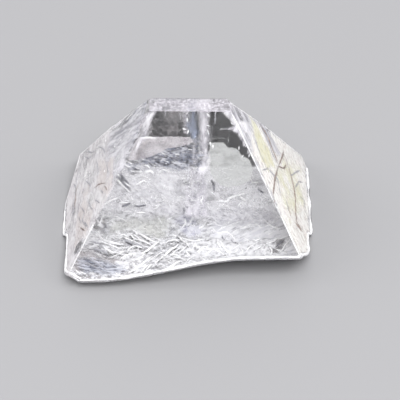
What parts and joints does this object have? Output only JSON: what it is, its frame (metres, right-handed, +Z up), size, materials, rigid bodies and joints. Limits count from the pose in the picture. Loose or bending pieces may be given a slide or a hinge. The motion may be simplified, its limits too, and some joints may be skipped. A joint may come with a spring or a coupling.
{
  "type": "apophyllite crystal",
  "caption": "Clear colourless crystal: a steep pyramid with a narrow flat tip, resting on its broken, stepped foot. A loose mineral specimen to look at or display.",
  "frame": {"origin": "middle of the footprint, on the ground plane that the foot rests on", "axes": "+X to the right across the large front face, +Y to the back, +Z up towards the tip"},
  "size_m": [0.0214, 0.0162, 0.0134],
  "materials": {
    "clear_crystal": "clear crystal, glassy on the pyramid faces, pearly on the tip, hackly on the broken foot"
  },
  "bodies": {
    "root": {"crystal": "clear_crystal"}
  },
  "joints": []
}
